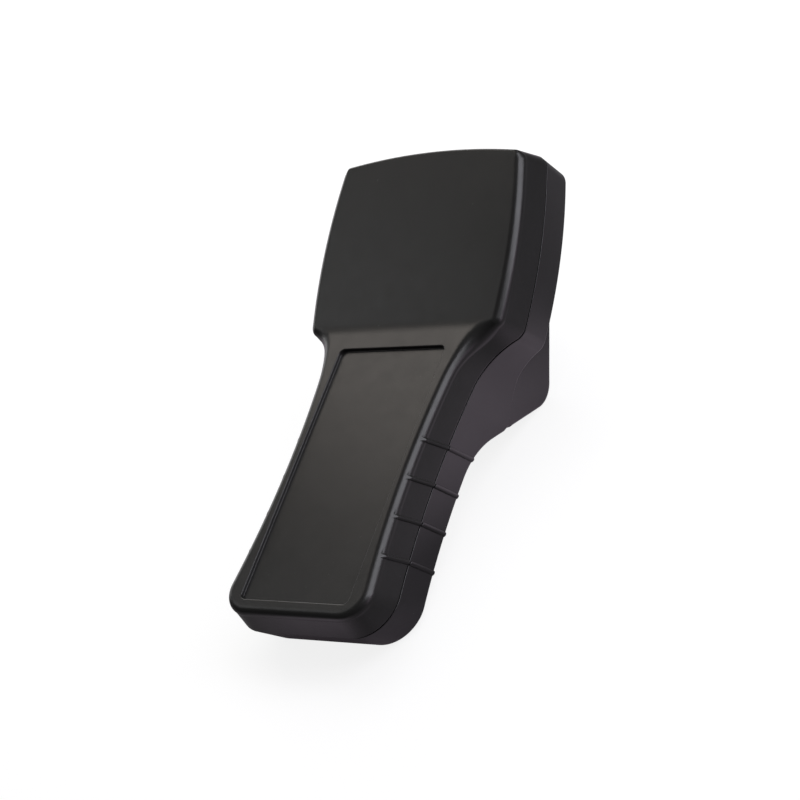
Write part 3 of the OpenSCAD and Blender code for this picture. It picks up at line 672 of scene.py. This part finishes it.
def moulded_plastic(name, colour, pale, rough_low, rough_high):
    """Satin black moulding: fine mould grain, uneven gloss, faint cloudiness and a few dust specks."""
    material, nodes, links, shader = new_material(name)
    place = nodes.new("ShaderNodeTexCoord")
    cloud = noise(nodes, links, place, 28, 4).outputs["Fac"]
    tone = blend_colour(nodes, links, spread_to(nodes, links, cloud, 0, 1), colour, pale)
    dust = spread_to(nodes, links, noise(nodes, links, place, 900, 2).outputs["Fac"], 0, 0.16, 0.74, 0.80)
    links.new(blend_colour(nodes, links, dust, tone, (0.30, 0.30, 0.29)), shader.inputs["Base Color"])
    patch = noise(nodes, links, place, 160, 5, 0.6).outputs["Fac"]
    links.new(spread_to(nodes, links, patch, rough_low, rough_high), shader.inputs["Roughness"])
    waves = bump(nodes, links, noise(nodes, links, place, 55, 2).outputs["Fac"], 1, 0.1 * MM)
    grain = bump(nodes, links, noise(nodes, links, place, 2600, 2).outputs["Fac"], 0.18, 0.03 * MM, waves)
    links.new(grain, shader.inputs["Normal"])
    shader.inputs["Specular IOR Level"].default_value = 0.5
    return material


def plated_steel(name, colour, rough_low, rough_high):
    material, nodes, links, shader = new_material(name)
    place = nodes.new("ShaderNodeTexCoord")
    patch = noise(nodes, links, place, 700, 4).outputs["Fac"]
    dull = tuple(0.75 * c for c in colour)
    links.new(blend_colour(nodes, links, spread_to(nodes, links, patch, 0, 1), colour, dull),
              shader.inputs["Base Color"])
    links.new(spread_to(nodes, links, patch, rough_low, rough_high), shader.inputs["Roughness"])
    shader.inputs["Metallic"].default_value = 1
    return material


def set_material(obj, material):
    obj.data.materials.clear()
    obj.data.materials.append(material)


front_plastic = moulded_plastic("front_plastic", (0.0125, 0.0125, 0.0121), (0.016, 0.016, 0.0154), 0.28, 0.34)
rear_plastic = moulded_plastic("rear_plastic", (0.0127, 0.0118, 0.0127), (0.0162, 0.015, 0.0162), 0.28, 0.34)
screw_steel = plated_steel("screw_steel", (0.50, 0.50, 0.52), 0.25, 0.45)
contact_steel = plated_steel("contact_steel", (0.68, 0.67, 0.64), 0.2, 0.4)

for make, node, slot, material in ((make_front_shell, "front_shell", "front_plastic", front_plastic),
                                   (make_rear_shell, "rear_shell", "rear_plastic", rear_plastic),
                                   (make_cover, "battery_cover", "rear_plastic", rear_plastic)):
    piece = make()
    set_material(piece, material)
    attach(piece, "root")
    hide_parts(node)

for node, material in (("case_screws", screw_steel), ("cover_screw", screw_steel),
                       ("contact_springs", contact_steel), ("contact_plates", contact_steel)):
    set_material(frame["nodes"][node], material)


# Floor, light and camera, in metres
# Height that the lights face
MIDDLE = 0.05
# Half the floor's side, its own tone, and its white as the camera sees it
FLOOR_HALF, FLOOR_TONE, PAPER = 4, 0.2, 0.85
# Painted reflection: the floor glows only as it is mirrored, dim all over with a tint, and brighter in
# painted pools of light beside the neck, round the heel and far to the left
PAINTED_GLOW_LEVEL, PAINTED_GLOW_TINT = 0.06, (1, 0.84, 1)
# Each painted pool of light: its middle, how bright it is, and the distances between which it fades
PAINTED_LIGHT_POOLS = (((0.075, 0.02, 0), 0.65, 0.02, 0.07), ((0.13, 0.05, 0), 0.3, 0.03, 0.065),
             ((-0.01, -0.165, 0), 0.5, 0.02, 0.062), ((0.05, -0.105, 0), 0.18, 0.012, 0.035),
             ((-0.45, 0.4, 0), 0.8, 0.25, 0.45))
# The world's light, which the camera sees as white
WORLD_LEVEL = 0.06


def make_floor():
    material, nodes, links, shader = new_material("pale_floor")
    shader.inputs["Base Color"].default_value = (FLOOR_TONE, FLOOR_TONE, FLOOR_TONE, 1)
    shader.inputs["Roughness"].default_value = 0.9
    shader.inputs["Emission Color"].default_value = (1, 1, 1, 1)
    path = nodes.new("ShaderNodeLightPath")
    paper = maths(nodes, links, "MULTIPLY", path.outputs["Is Camera Ray"], PAPER)
    links.new(paper, shader.inputs["Emission Strength"])
    place = nodes.new("ShaderNodeTexCoord")
    painted_glow = PAINTED_GLOW_LEVEL
    # Painted pools of light on the floor, each fading with distance from its middle
    for middle, strength, near, far in PAINTED_LIGHT_POOLS:
        reach = nodes.new("ShaderNodeVectorMath")
        reach.operation = "DISTANCE"
        reach.inputs[1].default_value = middle
        links.new(place.outputs["Object"], reach.inputs[0])
        spot = spread_to(nodes, links, reach.outputs["Value"], strength, 0, near, far)
        painted_glow = maths(nodes, links, "ADD", spot, painted_glow)
    # Painted reflection: this glow is seen only by mirrored and refracted rays
    seen = maths(nodes, links, "MAXIMUM", path.outputs["Is Glossy Ray"], path.outputs["Is Transmission Ray"])
    painted_reflection = nodes.new("ShaderNodeEmission")
    painted_reflection.inputs["Color"].default_value = (*PAINTED_GLOW_TINT, 1)
    links.new(maths(nodes, links, "MULTIPLY", seen, painted_glow), painted_reflection.inputs["Strength"])
    both = nodes.new("ShaderNodeAddShader")
    links.new(shader.outputs["BSDF"], both.inputs[0])
    links.new(painted_reflection.outputs["Emission"], both.inputs[1])
    links.new(both.outputs["Shader"], nodes["Material Output"].inputs["Surface"])
    mesh = bpy.data.meshes.new("floor")
    corners = [(x * FLOOR_HALF, y * FLOOR_HALF, 0) for x, y in ((-1, -1), (1, -1), (1, 1), (-1, 1))]
    mesh.from_pydata(corners, [], [(0, 1, 2, 3)])
    floor = bpy.data.objects.new("floor", mesh)
    bpy.context.scene.collection.objects.link(floor)
    set_material(floor, material)


def turn(axis, degrees):
    return np.array(Matrix.Rotation(math.radians(degrees), 3, axis))


# Camera fitted to the photograph: turns and shift from the body frame to the view, and focal length in pixels
VIEW_TURN = turn("Z", 9.923) @ turn("X", -13.436) @ turn("Y", 40.227) @ np.diag([1, -1, -1])
VIEW_SHIFT = np.array([0.047, -30.417, 880.224])
FOCAL_PX, FRAME_PX, SENSOR = 2112.6, 800, 36


def make_camera():
    data = bpy.data.cameras.new("camera")
    data.sensor_width = SENSOR
    data.lens = FOCAL_PX / FRAME_PX * SENSOR
    camera = bpy.data.objects.new("camera", data)
    bpy.context.scene.collection.objects.link(camera)
    axes = REST @ (VIEW_TURN * [[1], [-1], [-1]]).T
    place = to_row([-VIEW_TURN.T @ VIEW_SHIFT])[0]
    camera.matrix_world = Matrix([[*axes[i], place[i]] for i in range(3)] + [[0, 0, 0, 1]])
    bpy.context.scene.camera = camera


def soft_box(name, round_by, up_by, size, power, colour=(1, 1, 1), mirrored=True):
    """A rectangular soft light a metre away, at angles round and up from the part's middle, and facing it."""
    data = bpy.data.lights.new(name, "AREA")
    data.shape = "RECTANGLE"
    data.size, data.size_y = size
    data.energy = power
    data.color = colour
    light = bpy.data.objects.new(name, data)
    aim = Vector((math.cos(math.radians(up_by)), 0, math.sin(math.radians(up_by))))
    aim.rotate(Matrix.Rotation(math.radians(round_by), 3, "Z"))
    light.location = aim + Vector((0, 0, MIDDLE))
    light.rotation_euler = aim.to_track_quat("Z", "Y").to_euler()
    light.visible_glossy = mirrored
    bpy.context.scene.collection.objects.link(light)


def make_world():
    world = bpy.data.worlds.new("studio")
    world.use_nodes = True
    nodes, links = world.node_tree.nodes, world.node_tree.links
    shade = nodes["Background"]
    shade.inputs["Color"].default_value = (1, 1, 1, 1)
    path = nodes.new("ShaderNodeLightPath")
    seen = maths(nodes, links, "MAXIMUM", path.outputs["Is Camera Ray"], WORLD_LEVEL)
    links.new(seen, shade.inputs["Strength"])
    bpy.context.scene.world = world


make_floor()
make_camera()
make_world()
soft_box("key", 17, 43, (0.55, 0.95), 6.2, (0.93, 0.93, 1))
soft_box("top", 95, 57, (0.8, 0.8), 4.5, mirrored=False)
soft_box("left_back", 150, 46, (0.3, 0.6), 1.03, (1, 0.92, 0.85))
soft_box("left", 191, 45, (0.34, 0.4), 0.38)
soft_box("low", 0, 12, (0.8, 0.4), 0.8, (1, 0.78, 1))
soft_box("back", 130, 14, (0.5, 0.5), 2.2)
soft_box("left_low", 162, 10, (0.6, 0.35), 1.0)
bpy.context.scene.view_settings.view_transform = "Standard"
